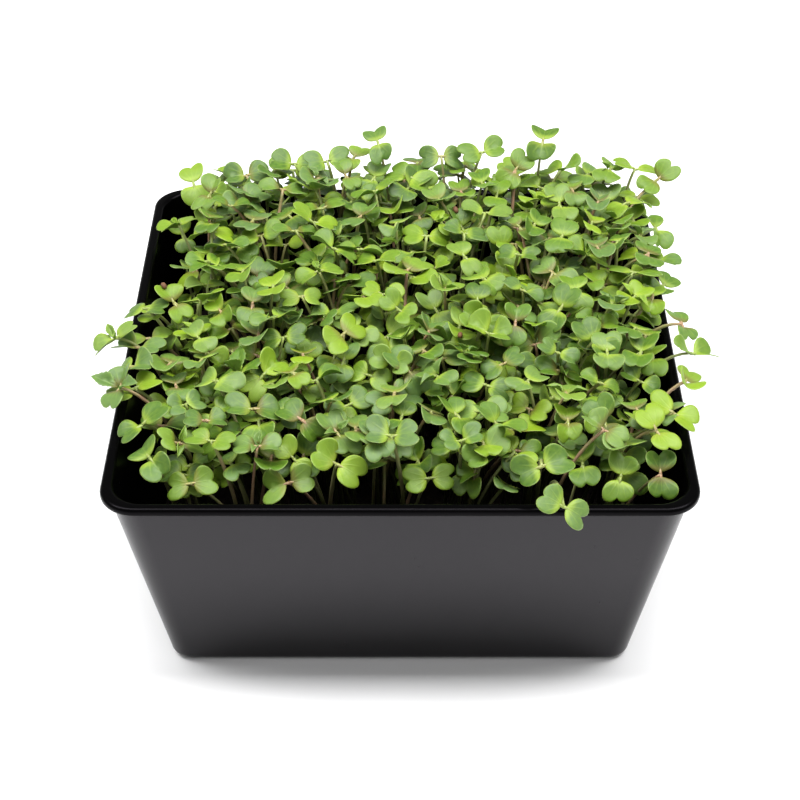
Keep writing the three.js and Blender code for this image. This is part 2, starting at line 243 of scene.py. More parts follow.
def keep_if_clear(clump, seedling, test=is_clear):
    """Adds a seedling to its clump if it is clear of the tray and of the others."""
    global taken_count
    points = test_points(seedling)
    if not clear_of_tray(points) or not test(points, clump):
        return False
    taken_points[taken_count:taken_count + len(points)] = points
    taken_clump[taken_count:taken_count + len(points)] = clump["number"]
    taken_count += len(points)
    clump["seedlings"].append(seedling)
    return True


placing = seeded_random(11)
clumps = []
for row in range(CLUMPS_A_SIDE):
    for column in range(CLUMPS_A_SIDE):
        middle = (CLUMPS_A_SIDE - 1) / 2
        x = (column - middle) * CLUMP_SPACING + CLUMP_JITTER * (2 * placing() - 1)
        y = (row - middle) * CLUMP_SPACING + CLUMP_JITTER * (2 * placing() - 1)
        clumps.append({"x": x, "y": y, "number": len(clumps) + 1, "seedlings": []})

# Seedlings that shape the outline, each as [x, y, z of the crown, turn, tilt, lean, arch] in mm and degrees
OUTLINE_SEEDLINGS = [
    [-66, 64, 82, 100, 20, 260, 0], [-49, 64, 85, 10, 25, 250, 0], [-34, 65, 88, 0, 20, 270, 0],
    [-23, 63, 91, 20, 30, 260, 0], [-7, 64, 97, 100, 25, 250, 0], [3, 55, 90, 150, 20, 270, 0],
    [13, 64, 92, 0, 35, 270, 0], [26, 65, 93, 20, 25, 300, 0], [35, 64, 85, 60, 20, 90, 0],
    [45, 65, 97, 80, 25, 270, 0], [38, 58, 91, 60, 35, 270, 0], [62, 64, 82, 30, 25, 60, 0],
    [81, 58, 87, 45, 30, 270, 8], [80, 44, 78, 110, 25, 10, 9], [79, 30, 76, 160, 25, 10, 9],
    [79, 14, 77, 60, 25, 0, 8], [82, -7, 78, 110, 30, 350, 10], [81, -20, 77, 20, 25, 10, 10],
    [80, -33, 77, 70, 30, 0, 9], [75, -46, 76, 150, 25, 330, 6], [-82, -14, 78, 20, 25, 170, 11],
    [-73, 2, 76, 100, 25, 150, 5], [-76, -25, 76, 160, 20, 190, 6], [-77, -36, 76, 60, 30, 190, 8],
    [-71, -48, 74, 30, 30, 200, 3], [-69, -60, 71, 120, 30, 230, 2], [-70, 50, 75, 40, 25, 170, 3],
    [-65, 34, 60, 20, 30, 180, 0], [-57, -65, 67, 10, 35, 260, 0], [-30, -65, 67, 20, 40, 270, 0],
    [-17, -63, 72, 150, 30, 280, 0], [8, -63, 67, 10, 35, 280, 0], [23, -60, 74, 40, 30, 260, 0],
    [42, -87, 78, 152, 30, 280, 19], [36, -75, 80, 20, 30, 260, 12], [70, -65, 70, 95, 35, 280, 0],
    [60, -66, 70, 80, 30, 270, 0], [69, -57, 79, 120, 30, 300, 3],
]


def find_clump(x, y):
    """The clump that a seedling of the outline grows from."""
    inwards = 0.84  # crowns fan out from their clumps
    crowding = 4  # a clump counts as this much further away for each seedling it has
    return min(clumps, key=lambda clump: math.hypot(clump["x"] - inwards * x, clump["y"] - inwards * y)
               + crowding * len(clump["seedlings"]))


def foot_in(clump, draw, spread, height):
    """A random place for the foot of a stem, round the centre of its clump."""
    angle = 2 * math.pi * draw()
    distance = spread * math.sqrt(draw())
    x = clump["x"] + distance * math.cos(angle)
    y = clump["y"] + distance * math.sin(angle)
    return np.array([x, y, height])


outline_tries = 40
for x, y, z, turn, tilt, lean, arch in OUTLINE_SEEDLINGS:
    clump = find_clump(x, y)
    for attempt in range(outline_tries):
        # a seedling that meets another is moved a little
        loose = attempt / 10
        crown = np.array([value + loose * (2 * placing() - 1) for value in (x, y, z)])
        lifts = [40 * placing() - 12, 40 * placing() - 12]
        size = 0.95 + 0.15 * placing()
        foot = foot_in(clump, placing, STEM_SPREAD, STEM_ROOT)
        seedling = dict(
            foot=foot, crown=crown, turn=turn, tilt=tilt, lean=lean, lifts=lifts, size=size, arch=arch,
        )
        if keep_if_clear(clump, seedling):
            break


def arch_over_rim(x):
    """How much the bend of a stem is raised near the left and right rims."""
    rim_zone = 70
    most = 12
    return min(max(abs(x) - rim_zone, 0), most)


def draw_seedling(clump):
    """A random seedling of a clump, with its crown in the upper part of the canopy."""
    fan_out = 1.17
    reach = 13
    rise = 3  # the highest crowns stand this far above the canopy height
    depth = 18  # and the lowest this far below the highest
    x = fan_out * clump["x"] + reach * (2 * placing() - 1)
    y = fan_out * clump["y"] + reach * (2 * placing() - 1)
    z = canopy_height(x, y) + rise - depth * placing()
    outwards = math.degrees(math.atan2(y, x))
    return dict(
        foot=foot_in(clump, placing, STEM_SPREAD, STEM_ROOT),
        crown=np.array([x, y, z]),
        turn=180 * placing(),
        tilt=8 + 30 * placing(),
        lean=outwards + 240 * (placing() - 0.5),
        lifts=[45 * placing() - 15, 45 * placing() - 15],
        size=0.82 + 0.3 * placing(),
        arch=arch_over_rim(x),
    )


for round_number in range(SEEDLINGS_A_CLUMP):
    for clump in clumps:
        for attempt in range(ATTEMPTS):
            if len(clump["seedlings"]) > round_number:
                break
            seedling = draw_seedling(clump)
            if in_canopy(seedling["crown"][0], seedling["crown"][1]):
                keep_if_clear(clump, seedling)

# Seedlings added between those, most of them in the canopy and some lower down
filling = seeded_random(29)


def nearest_clump(x, y):
    inwards = 0.86
    return min(clumps, key=lambda clump: math.hypot(clump["x"] - inwards * x, clump["y"] - inwards * y))


def draw_filler(middle_x, middle_y, layer):
    """The clump that a random seedling near a place of the grid grows from, and the seedling."""
    rise, depth_range = 3, 8
    x = middle_x + FILL_SPACING * (filling() - 0.5)
    y = middle_y + FILL_SPACING * (filling() - 0.5)
    depth = FILL_LAYER_DEPTH * layer + depth_range * filling()
    if y < HIGH_FRONT:
        depth *= 0.5 if layer == 0 else 0.85
    z = canopy_height(x, y) + rise - depth
    clump = nearest_clump(x, y)
    outwards = math.degrees(math.atan2(y, x))
    return clump, dict(
        foot=foot_in(clump, filling, FILL_SPREAD, MEDIUM_TOP - 2),
        crown=np.array([x, y, z]),
        turn=360 * filling(),
        tilt=4 + 26 * filling(),
        lean=outwards + 280 * (filling() - 0.5),
        lifts=[45 * filling() - 16, 45 * filling() - 16],
        size=0.84 + 0.28 * filling(),
        arch=arch_over_rim(x),
    )


def fill_places():
    """The middles of a square grid over the canopy."""
    left, right = -78, 84
    front, back = -62, 70
    columns = np.arange(left, right, FILL_SPACING)
    rows = np.arange(front, back, FILL_SPACING)
    return [(x, y) for y in rows for x in columns]


# Crowns of the low seedlings at the edge of the bare patch
LOW_CROWNS = [(-63, 14, 57), (-68, 27, 58), (-62, 24, 64), (-68, 44, 63), (-64, 38, 67), (-70, 58, 66)]

for place in LOW_CROWNS:
    for attempt in range(FILL_ATTEMPTS):
        clump, seedling = draw_filler(place[0], place[1], 0)
        seedling["crown"] = np.array(place) + 0.1 * attempt * (filling() - 0.5)
        if keep_if_clear(clump, seedling, is_clear_filler):
            break

for layer in range(FILL_LAYERS):
    for middle_x, middle_y in fill_places():
        if middle_y < THIN_FRONT and filling() < 0.5:
            continue
        for attempt in range(FILL_ATTEMPTS):
            clump, seedling = draw_filler(middle_x, middle_y, layer)
            x, y, _ = seedling["crown"]
            if in_canopy(x, y) and abs(x) < FILL_EDGE:
                if keep_if_clear(clump, seedling, is_clear_filler):
                    break


# Meshes

# Order of the materials on the greens
LEAF, STEM, SEED_COAT = range(3)


class Skin:
    """Collects points and faces, with a material for each face.

    Each point also has a place, which says where on a leaf or stem it lies, and a tone, three random
    numbers that vary the colours from seedling to seedling.
    """

    def __init__(self):
        self.points = []
        self.faces = []
        self.materials = []
        self.places = []
        self.tones = []
        self.count = 0

    def add(self, points, faces, material, place, tone):
        points = np.asarray(points, float)
        self.points.append(points)
        self.faces.extend([[index + self.count for index in face] for face in faces])
        self.materials.extend([material] * len(faces))
        self.places.append(np.broadcast_to(place, (len(points), 3)))
        self.tones.append(np.broadcast_to(tone, (len(points), 3)))
        self.count += len(points)

    def piece(self, name, materials):
        """Makes the object, with places and tones as attributes that the materials read."""
        mesh = bpy.data.meshes.new(name)
        mesh.from_pydata((np.concatenate(self.points) * MM).tolist(), [], self.faces)
        mesh.polygons.foreach_set("material_index", self.materials)
        mesh.polygons.foreach_set("use_smooth", [True] * len(self.faces))
        for label, values in (("place", self.places), ("tone", self.tones)):
            attribute = mesh.attributes.new(label, "FLOAT_VECTOR", "POINT")
            attribute.data.foreach_set("vector", np.concatenate(values).astype(np.float32).ravel())
        for material in materials:
            mesh.materials.append(material)
        mesh.update()
        piece = bpy.data.objects.new(name, mesh)
        bpy.context.scene.collection.objects.link(piece)
        return piece


def tube_faces(rings, points):
    """Quads between neighbouring rings of points, and a face that closes each end."""
    faces = []
    for ring in range(rings - 1):
        for point in range(points):
            a = ring * points + point
            b = ring * points + (point + 1) % points
            faces.append([a, b, b + points, a + points])
    first = list(range(points))
    last = [(rings - 1) * points + point for point in first]
    return faces + [first[::-1], last]


# A notched seed leaf is rings of points round its middle, out to its rim.
# This is half of its rim from the stalk to the notch, as [out, across] in mm
LEAF_RIM = [
    [0.1, 0.0], [0.2, 1.0], [0.8, 2.6], [2.0, 3.8], [3.5, 4.25], [5.0, 4.05], [6.1, 3.15], [6.5, 2.0],
    [6.15, 0.8], [5.3, 0.0],
]
LEAF_MIDDLE = 3.6
LEAF_RINGS = np.array([0.36, 0.68, 0.89, 1.0])  # shares of the way from the middle to the rim
HALF_RIM_POINTS = 14
CURVE_STEPS = 12
LEAF_HALF_THICKNESS = 0.2
UNDERSIDE_MARK = 10.0  # added to the place of points on the underside, so the material can tell them


def smooth_curve(points, count):
    """Points evenly spaced along a smooth curve through the given ones."""
    points = np.array(points)
    before = np.concatenate([[points[1] * (1, -1)], points[:-1]])
    after = np.concatenate([points[1:], [points[-2] * (1, -1)]])
    slopes = (after - before) / 2
    dense = []
    for index in range(len(points) - 1):
        share = np.linspace(0, 1, CURVE_STEPS, endpoint=False)[:, None]
        square, cube = share ** 2, share ** 3
        dense.append((2 * cube - 3 * square + 1) * points[index]
                     + (cube - 2 * square + share) * slopes[index]
                     + (3 * square - 2 * cube) * points[index + 1]
                     + (cube - square) * slopes[index + 1])
    dense = np.concatenate(dense + [points[-1:]])
    lengths = np.concatenate([[0], np.cumsum(np.linalg.norm(np.diff(dense, axis=0), axis=1))])
    even = np.linspace(0, lengths[-1], count)
    return np.stack([np.interp(even, lengths, dense[:, axis]) for axis in (0, 1)], axis=1)


def whole_rim(half):
    """Half of a rim together with its mirror image."""
    return np.concatenate([half, half[-2:0:-1] * (1, -1)])


seed_leaf_rim = whole_rim(smooth_curve(LEAF_RIM, HALF_RIM_POINTS + 1))
RIM_POINTS = len(seed_leaf_rim)

# A true leaf is a pointed oval with blunt teeth
TRUE_LEAF_RIM = [
    [0.0, 0.0], [0.5, 0.55], [1.4, 1.35], [1.9, 1.25], [2.7, 2.1], [3.2, 1.95], [4.1, 2.6], [4.7, 2.3],
    [5.6, 2.6], [6.2, 2.1], [7.0, 2.0], [7.6, 1.4], [8.3, 1.1], [9.0, 0.45], [9.6, 0.0],
]
TRUE_LEAF_MIDDLE = 4.6
true_leaf_rim = whole_rim(np.array(TRUE_LEAF_RIM))


def leaf_faces():
    """Faces of a closed leaf: the top, the underside and the narrow rim between them."""
    one_side = 1 + len(LEAF_RINGS) * RIM_POINTS
    top = []
    for point in range(RIM_POINTS):
        following = (point + 1) % RIM_POINTS
        top.append([0, 1 + point, 1 + following])
        for ring in range(len(LEAF_RINGS) - 1):
            a, b = 1 + ring * RIM_POINTS + point, 1 + ring * RIM_POINTS + following
            top.append([a, a + RIM_POINTS, b + RIM_POINTS, b])
    under = [[index + one_side for index in face[::-1]] for face in top]
    last = 1 + (len(LEAF_RINGS) - 1) * RIM_POINTS
    edge = []
    for point in range(RIM_POINTS):
        a, b = last + point, last + (point + 1) % RIM_POINTS
        edge.append([a, a + one_side, b + one_side, b])
    return top + under + edge


LEAF_FACES = leaf_faces()
MIRRORED_LEAF_FACES = [face[::-1] for face in LEAF_FACES]


def add_leaf(skin, seedling, way, draw, tone):
    """A seed leaf, each a little different in shape and bend."""
    width = 0.9 + 0.15 * draw()
    length = 0.92 + 0.13 * draw()
    skew = 0.05 * (2 * draw() - 1)
    notch = 0.9 * draw() ** 2 - 0.25
    cup = 1.9 * draw() - 0.7
    fold = 0.6 * draw() ** 5
    droop = 1.8 * draw() ** 2
    out, side = seed_leaf_rim[:, 0], seed_leaf_rim[:, 1]
    notch_half_width = 0.9
    near_tip = out > 4
    out = out * length * (1 + skew * side) - notch * np.exp(-(side / notch_half_width) ** 2) * near_tip
    add_blade(skin, seedling, way, out, side * width, LEAF_MIDDLE, (cup, fold, droop), draw, tone)


def add_blade(skin, seedling, way, rim_out, rim_side, middle_out, shape, draw, tone):
    """A thin closed leaf inside its rim, bent by how far it cups, folds along its midrib and droops."""
    cup, fold, droop = shape
    wave = 0.08 + 0.3 * draw()
    phase = 2 * math.pi * draw()
    share = np.concatenate([[0], np.repeat(LEAF_RINGS, RIM_POINTS)])
    out = middle_out + share * np.concatenate([[0], np.tile(rim_out - middle_out, len(LEAF_RINGS))])
    side = share * np.concatenate([[0], np.tile(rim_side, len(LEAF_RINGS))])
    ripple = wave * share ** 3 * np.sin(3 * np.arctan2(side, out - middle_out) + phase)
    crease = 0.07 * np.exp(-(side / 0.5) ** 2) * np.clip(1 - out / 6.5, 0, 1)
    middle = ripple - crease + cup * (side / 4) ** 2 + fold * np.abs(side) - droop * (out / 7) ** 2
    rolled_rim = 0.22 * share ** 8
    middle = middle - rolled_rim
    half = LEAF_HALF_THICKNESS * (1 - 0.7 * share ** 6)
    points = np.concatenate([
        leaf_points(seedling, way, out, side, middle + half),
        leaf_points(seedling, way, out, side, middle - half),
    ])
    under = np.repeat([0.0, UNDERSIDE_MARK], len(out))
    place = np.stack([np.tile(out, 2), np.tile(side, 2), np.tile(share, 2) + under], axis=1)
    skin.add(points, LEAF_FACES if way > 0 else MIRRORED_LEAF_FACES, LEAF, place, tone)


def add_true_leaves(skin, seedling, draw, size, tone):
    """Two toothed leaves that rise from the crown, across the seed leaves."""
    young = dict(seedling, turn=seedling["turn"] + 80 + 20 * draw(), size=size)
    young["lifts"] = [35 + 35 * draw(), 20 + 40 * draw()]
    for way in (1, -1):
        shape = (0.2, 0.35 + 0.3 * draw(), 0.8 * draw())
        out, side = true_leaf_rim[:, 0], true_leaf_rim[:, 1]
        add_blade(skin, young, way, out, side, TRUE_LEAF_MIDDLE, shape, draw, tone)


def add_seed_coat(skin, seedling, draw):
    """The husk of the seed, still on the tip of a leaf."""
    middle = 5.6
    raised = 0.7
    sides = 8
    out = middle + np.array([-1.1, -0.8, 0, 0.8, 1.1])
    radii = [0.2, 0.6, 0.8, 0.65, 0.2]
    rings = len(out)
    path = leaf_points(seedling, 1, out, np.full(rings, 2 * draw() - 1), np.full(rings, raised))
    place = np.zeros((rings, 3))
    add_tube(skin, path, radii, sides, SEED_COAT, place, (draw(), draw(), draw()))


def add_tube(skin, path, radii, sides, material, place, tone):
    """A closed tube along a path, with its place given for each ring."""
    path = np.asarray(path)
    tangents = np.gradient(path, axis=0)
    tangents /= np.linalg.norm(tangents, axis=1)[:, None]
    # a direction that no tube runs along
    aside = np.array([1.0, 0.3, 0.1])
    first = np.cross(tangents, aside)
    first /= np.linalg.norm(first, axis=1)[:, None]
    second = np.cross(tangents, first)
    turn = np.arange(sides) * 2 * math.pi / sides
    ring = first[:, None] * np.cos(turn)[None, :, None] + second[:, None] * np.sin(turn)[None, :, None]
    points = (path[:, None] + ring * np.asarray(radii)[:, None, None]).reshape(-1, 3)
    skin.add(points, tube_faces(len(path), sides), material, np.repeat(place, sides, axis=0), tone)


STEM_STEPS = 12
STEM_SIDES = 7


def add_stem(skin, seedling, draw, tone):
    """A stem that bows a little to one side and gets thinner towards the crown."""
    radius = 0.44 + 0.14 * draw()
    shares = np.linspace(0, 1, STEM_STEPS + 1)
    path = stem_points(seedling, shares)
    bow = 0.8 * (draw() - 0.5) * np.sin(math.pi * shares)
    turn = 2 * math.pi * draw()
    path[:, 0] += bow * math.cos(turn)
    path[:, 1] += bow * math.sin(turn)
    radii = radius * (1.15 - 0.3 * shares)
    place = np.stack([shares, np.zeros_like(shares), np.zeros_like(shares)], axis=1)
    add_tube(skin, path, radii, STEM_SIDES, STEM, place, tone)


def add_petiole(skin, seedling, way, tone):
    """The short stalk of a leaf, which runs out under its base and has the colour of the stem's top."""
    sides = 6
    out = np.array([-0.7, -0.1, 0.5, 1.2, 2.0])
    raised = np.array([-0.2, -0.15, -0.2, -0.25, -0.25])
    radii = seedling["size"] * np.array([0.46, 0.46, 0.4, 0.28, 0.12])
    path = leaf_points(seedling, way, out, np.zeros(len(out)), raised)
    place = np.tile([1.0, 0.0, 0.0], (len(out), 1))
    add_tube(skin, path, radii, sides, STEM, place, tone)


def add_seedling(skin, seedling, draw):
    """A stem with its two seed leaves, and now and then true leaves or the seed coat."""
    leaf_variation = 0.16
    true_leaves_above = 0.94
    seed_coat_below = 0.003
    tone = np.array([draw(), draw(), draw()])
    add_stem(skin, seedling, draw, tone)
    for way in (1, -1):
        change = leaf_variation * np.array([draw() - 0.5, draw() - 0.5, draw() - 0.5])
        leaf_tone = np.clip(tone + change, 0, 1)
        add_petiole(skin, seedling, way, tone)
        add_leaf(skin, seedling, way, draw, leaf_tone)
    chance = draw()
    if seedling.get("true_leaf"):
        add_true_leaves(skin, seedling, draw, seedling["true_leaf"], tone)
    elif chance > true_leaves_above:
        add_true_leaves(skin, seedling, draw, 0.3 + 4 * (chance - true_leaves_above), tone)
    if seedling.get("seed_coat") or chance < seed_coat_below:
        add_seed_coat(skin, seedling, draw)


# Materials

class Nodes:
    """Short calls that add and join shader nodes."""

    def __init__(self, tree):
        self.tree = tree

    def link(self, value, socket):
        if isinstance(value, bpy.types.NodeSocket):
            self.tree.links.new(value, socket)
        else:
            socket.default_value = value

    def math(self, operation, a, b=0.0, clamp=False):
        node = self.tree.nodes.new("ShaderNodeMath")
        node.operation = operation
        node.use_clamp = clamp
        self.link(a, node.inputs[0])
        self.link(b, node.inputs[1])
        return node.outputs[0]

    def step(self, value, low, high):
        """Rises smoothly from 0 to 1 as the value goes from low to high."""
        node = self.tree.nodes.new("ShaderNodeMapRange")
        node.interpolation_type = "SMOOTHSTEP"
        self.link(value, node.inputs["Value"])
        node.inputs["From Min"].default_value = low
        node.inputs["From Max"].default_value = high
        return node.outputs["Result"]

    def mix(self, share, a, b):
        node = self.tree.nodes.new("ShaderNodeMix")
        node.data_type = "RGBA"
        self.link(share, node.inputs["Factor"])
        self.link(a, node.inputs["A"])
        self.link(b, node.inputs["B"])
        return node.outputs["Result"]

    def coordinates(self, kind):
        return self.tree.nodes.new("ShaderNodeTexCoord").outputs[kind]

    def noise(self, scale, detail=3.0):
        node = self.tree.nodes.new("ShaderNodeTexNoise")
        node.inputs["Scale"].default_value = scale
        node.inputs["Detail"].default_value = detail
        self.link(self.coordinates("Object"), node.inputs["Vector"])
        return node.outputs["Fac"]

    def separate(self, vector):
        node = self.tree.nodes.new("ShaderNodeSeparateXYZ")
        self.link(vector, node.inputs[0])
        return node.outputs

    def attribute(self, name):
        node = self.tree.nodes.new("ShaderNodeAttribute")
        node.attribute_name = name
        return self.separate(node.outputs["Vector"])

    def ramp(self, value, stops):
        """A colour that follows the value through stops of (position, colour)."""
        node = self.tree.nodes.new("ShaderNodeValToRGB")
        elements = node.color_ramp.elements
        while len(elements) < len(stops):
            elements.new(0.5)
        for element, (position, colour) in zip(elements, stops):
            element.position = position
            element.color = colour
        self.link(value, node.inputs["Fac"])
        return node.outputs["Color"]

    def bump(self, height, distance, strength):
        node = self.tree.nodes.new("ShaderNodeBump")
        node.inputs["Distance"].default_value = distance
        node.inputs["Strength"].default_value = strength
        self.link(height, node.inputs["Height"])
        return node.outputs["Normal"]


def new_material(name):
    """A material, the nodes that are added to it, and its shader."""
    material = bpy.data.materials.new(name)
    material.use_nodes = True
    tree = material.node_tree
    return material, Nodes(tree), tree.nodes["Principled BSDF"]


def srgb(red, green, blue):
    """A linear colour with alpha from display values of 0 to 255."""
    def linear(value):
        value /= 255
        return value / 12.92 if value <= 0.04045 else ((value + 0.055) / 1.055) ** 2.4
    return (linear(red), linear(green), linear(blue), 1.0)


def leaf_material():
    """Green that differs from leaf to leaf, with paler veins, a painted highlight along the rim and a paler
    underside.
    """
    material, nodes, shader = new_material("seed_leaf")
    out, side, edge = nodes.attribute("place")
    tone, bloom, purple = nodes.attribute("tone")
    under = nodes.math("GREATER_THAN", edge, UNDERSIDE_MARK / 2)
    edge = nodes.math("SUBTRACT", edge, nodes.math("MULTIPLY", under, UNDERSIDE_MARK))
    green = nodes.ramp(tone, [
        (0.0, srgb(58, 92, 8)),
        (0.3, srgb(74, 110, 10)),
        (0.65, srgb(96, 128, 10)),
        (1.0, srgb(122, 151, 12)),
    ])
    bloom_colour = srgb(88, 116, 66)
    green = nodes.mix(nodes.math("MULTIPLY", nodes.step(bloom, 0.4, 1.0), 0.65), green, bloom_colour)
    mottle = nodes.step(nodes.noise(700, 4.0), 0.3, 0.75)
    mottle_colour = srgb(140, 170, 40)
    green = nodes.mix(nodes.math("MULTIPLY", mottle, 0.16), green, mottle_colour)
    # pale veins fan out from the leaf's base
    angle = nodes.math("ABSOLUTE", nodes.math("ARCTAN2", side, nodes.math("ADD", out, 0.4)))
    vein = None
    for direction in (0.0, 0.42, 0.8):
        away = nodes.math("MULTIPLY", nodes.math("ABSOLUTE", nodes.math("SUBTRACT", angle, direction)), out)
        line = nodes.math("SUBTRACT", 1.0, nodes.step(away, 0.02, 0.22), clamp=True)
        vein = line if vein is None else nodes.math("MAXIMUM", vein, line)
    vein = nodes.math("MULTIPLY", vein, nodes.math("SUBTRACT", 1.0, nodes.step(out, 2.5, 6.0)))
    vein_colour = srgb(150, 176, 60)
    green = nodes.mix(nodes.math("MULTIPLY", vein, 0.15), green, vein_colour)
    # a painted highlight along the rim of each leaf
    rim = nodes.step(edge, 0.93, 1.0)
    rim_highlight_colour = srgb(190, 206, 110)
    green = nodes.mix(nodes.math("MULTIPLY", rim, 0.25), green, rim_highlight_colour)
    # the base of a leaf is paler, or purple where the stem is
    base = nodes.math("SUBTRACT", 1.0, nodes.step(out, 0.9, 2.6))
    pale_base, purple_base = srgb(146, 170, 44), srgb(104, 84, 36)
    spot = nodes.mix(nodes.step(purple, 0.6, 0.85), pale_base, purple_base)
    green = nodes.mix(nodes.math("MULTIPLY", base, 0.6), green, spot)
    underside_colour = srgb(116, 140, 66)
    green = nodes.mix(nodes.math("MULTIPLY", under, 0.35), green, underside_colour)
    nodes.link(green, shader.inputs["Base Color"])
    shader.inputs["Roughness"].default_value = 0.55
    shader.inputs["Specular IOR Level"].default_value = 0.6
    shader.inputs["Subsurface Weight"].default_value = 0.15
    shader.inputs["Subsurface Radius"].default_value = (0.6, 1.0, 0.25)
    shader.inputs["Subsurface Scale"].default_value = 0.001
    fine = nodes.math("MULTIPLY", nodes.noise(1600, 2.0), 0.5)
    height = nodes.math("ADD", nodes.math("MULTIPLY", vein, -0.6), fine)
    nodes.link(nodes.bump(height, 0.00012, 0.5), shader.inputs["Normal"])
    return material


def stem_material():
    """Paler under the crown and dark low down, where the darkness is painted shade of the canopy, with a
    pink blush on some stems.
    """
    material, nodes, shader = new_material("stem")
    share, _, _ = nodes.attribute("place")
    _, _, purple = nodes.attribute("tone")
    # the stem's own colour is paler under the crown; the dark stops low down are painted shade
    stem_colour_shaded_low = nodes.ramp(share, [
        (0.0, srgb(38, 42, 18)),
        (0.45, srgb(58, 64, 28)),
        (0.72, srgb(132, 136, 88)),
        (1.0, srgb(146, 162, 84)),
    ])
    blush = nodes.math("MULTIPLY", nodes.step(purple, 0.45, 0.85), nodes.step(nodes.noise(140), 0.35, 0.6))
    blush = nodes.math("MULTIPLY", blush, nodes.step(share, 0.3, 0.8))
    blush_colour = srgb(172, 124, 108)
    colour = nodes.mix(nodes.math("MULTIPLY", blush, 0.75), stem_colour_shaded_low, blush_colour)
    nodes.link(colour, shader.inputs["Base Color"])
    shader.inputs["Roughness"].default_value = 0.42
    shader.inputs["Subsurface Weight"].default_value = 0.2
    shader.inputs["Subsurface Radius"].default_value = (1.0, 0.9, 0.5)
    shader.inputs["Subsurface Scale"].default_value = 0.001
    nodes.link(nodes.bump(nodes.noise(1200), 0.0001, 0.4), shader.inputs["Normal"])
    return material


def plastic_material(name, specular, lightness):
    """Black plastic that is a little cloudy, with its strength of reflection and its lightness."""
    material, nodes, shader = new_material(name)
    shader.inputs["Specular IOR Level"].default_value = specular
    shader.inputs["Specular Tint"].default_value = (0.95, 0.88, 1.0, 1.0)
    cloud = nodes.noise(28, 4.0)
    colour = nodes.mix(cloud, [0.007 * lightness] * 3 + [1], [0.004 * lightness] * 3 + [1])
    nodes.link(colour, shader.inputs["Base Color"])
    rough = nodes.math("ADD", 0.2, nodes.math("MULTIPLY", nodes.noise(300, 3.0), 0.1))
    nodes.link(rough, shader.inputs["Roughness"])
    nodes.link(nodes.bump(nodes.noise(2600, 2.0), 0.00003, 0.35), shader.inputs["Normal"])
    return material


def seed_coat_material():
    material, nodes, shader = new_material("seed_coat")
    colour = nodes.mix(nodes.noise(900), srgb(70, 44, 28), srgb(140, 96, 62))
    nodes.link(colour, shader.inputs["Base Color"])
    shader.inputs["Roughness"].default_value = 0.7
    return material


def medium_material():
    material, nodes, shader = new_material("growing_medium")
    # the medium is dark, and its colours are darkened further as painted shade under the canopy
    colour = nodes.ramp(nodes.noise(380, 6.0), [
        (0.3, (0.004, 0.003, 0.002, 1)),
        (0.55, (0.01, 0.0065, 0.004, 1)),
        (0.75, (0.03, 0.02, 0.012, 1)),
    ])
    nodes.link(colour, shader.inputs["Base Color"])
    shader.inputs["Roughness"].default_value = 0.95
    shader.inputs["Specular IOR Level"].default_value = 0.25
    nodes.link(nodes.bump(nodes.noise(900, 5.0), 0.0006, 0.8), shader.inputs["Normal"])
    return material


def floor_material():
    material, _, shader = new_material("floor")
    shader.inputs["Base Color"].default_value = (0.97, 0.97, 0.975, 1)
    shader.inputs["Roughness"].default_value = 0.7
    return material


# Pieces

def square_ring(half, height, corner, steps):
    """A square with rounded corners, each corner in so many steps, counter-clockwise from above."""
    ring = []
    for quarter in range(4):
        middle = (quarter + 0.5) * math.pi / 2
        centre_x = math.copysign(half - corner, math.cos(middle))
        centre_y = math.copysign(half - corner, math.sin(middle))
        for step in range(steps + 1):
            angle = (quarter + step / steps) * math.pi / 2
            ring.append([centre_x + corner * math.cos(angle), centre_y + corner * math.sin(angle), height])
    return ring


def corner_radius(half):
    """The corners of the tray get tighter as the wall lies further in."""
    return CORNER - CORNER_TIGHTENING * (RIM_HALF - half)


def section_arc(half, height, radius, start, end, steps):
    """An arc in the section of the tray, round a centre, from one angle to another."""
    angles = [math.radians(start + (end - start) * step / steps) for step in range(steps + 1)]
    return [(half + radius * math.cos(angle), height + radius * math.sin(angle)) for angle in angles]


def make_tray(materials):
    """The tray. Its wall outside and its base have one material, its lip and its inside another, a darker
    and less reflective copy of the plastic that is painted shade.
    """
    lip_foot = HEIGHT - LIP_DEPTH
    outer_round, inner_round, floor_round, under_round = 1.1, 1.1, 2, 0.7
    inner_floor = wall_half(FLOOR + floor_round) - WALL
    section = section_arc(BASE_HALF - BASE_FILLET, BASE_FILLET, BASE_FILLET, -90, 0, 8)
    wall_heights = (12, 24, 36, 48, 58)
    section += [(wall_half(height), height) for height in wall_heights]
    # rings close to the foot of the lip keep that edge crisp
    below_edge, beside_edge = 0.3, 0.2
    section += [(wall_half(lip_foot - below_edge), lip_foot - below_edge), (BODY_HALF, lip_foot)]
    outside_rings = len(section)
    section += [(BODY_HALF + beside_edge, lip_foot), (RIM_HALF - 1.2, lip_foot + 0.05)]
    section += section_arc(RIM_HALF - under_round, lip_foot + under_round, under_round, -80, 0, 4)
    section += section_arc(RIM_HALF - outer_round, HEIGHT - outer_round, outer_round, 0, 90, 8)
    inner_centre = RIM_HALF - LIP_WIDTH + inner_round
    section += section_arc(inner_centre, HEIGHT - inner_round, inner_round, 90, 180, 8)
    section += section_arc(inner_floor - floor_round, FLOOR + floor_round, floor_round, 0, -90, 6)
    corner_steps = 14
    rings = [square_ring(half, height, corner_radius(half), corner_steps) for half, height in section]
    count = len(rings[0])
    points = np.array(rings).reshape(-1, 3)
    faces = tube_faces(len(rings), count)
    outside = (outside_rings - 1) * count
    wall, lip = range(2)
    skin = Skin()
    skin.add(points, faces, wall, (0, 0, 0), (0, 0, 0))
    # the last two faces are the underside and the floor inside
    skin.materials = [wall] * outside + [lip] * (len(faces) - outside - 2) + [wall, lip]
    return skin.piece("growing_tray", materials)


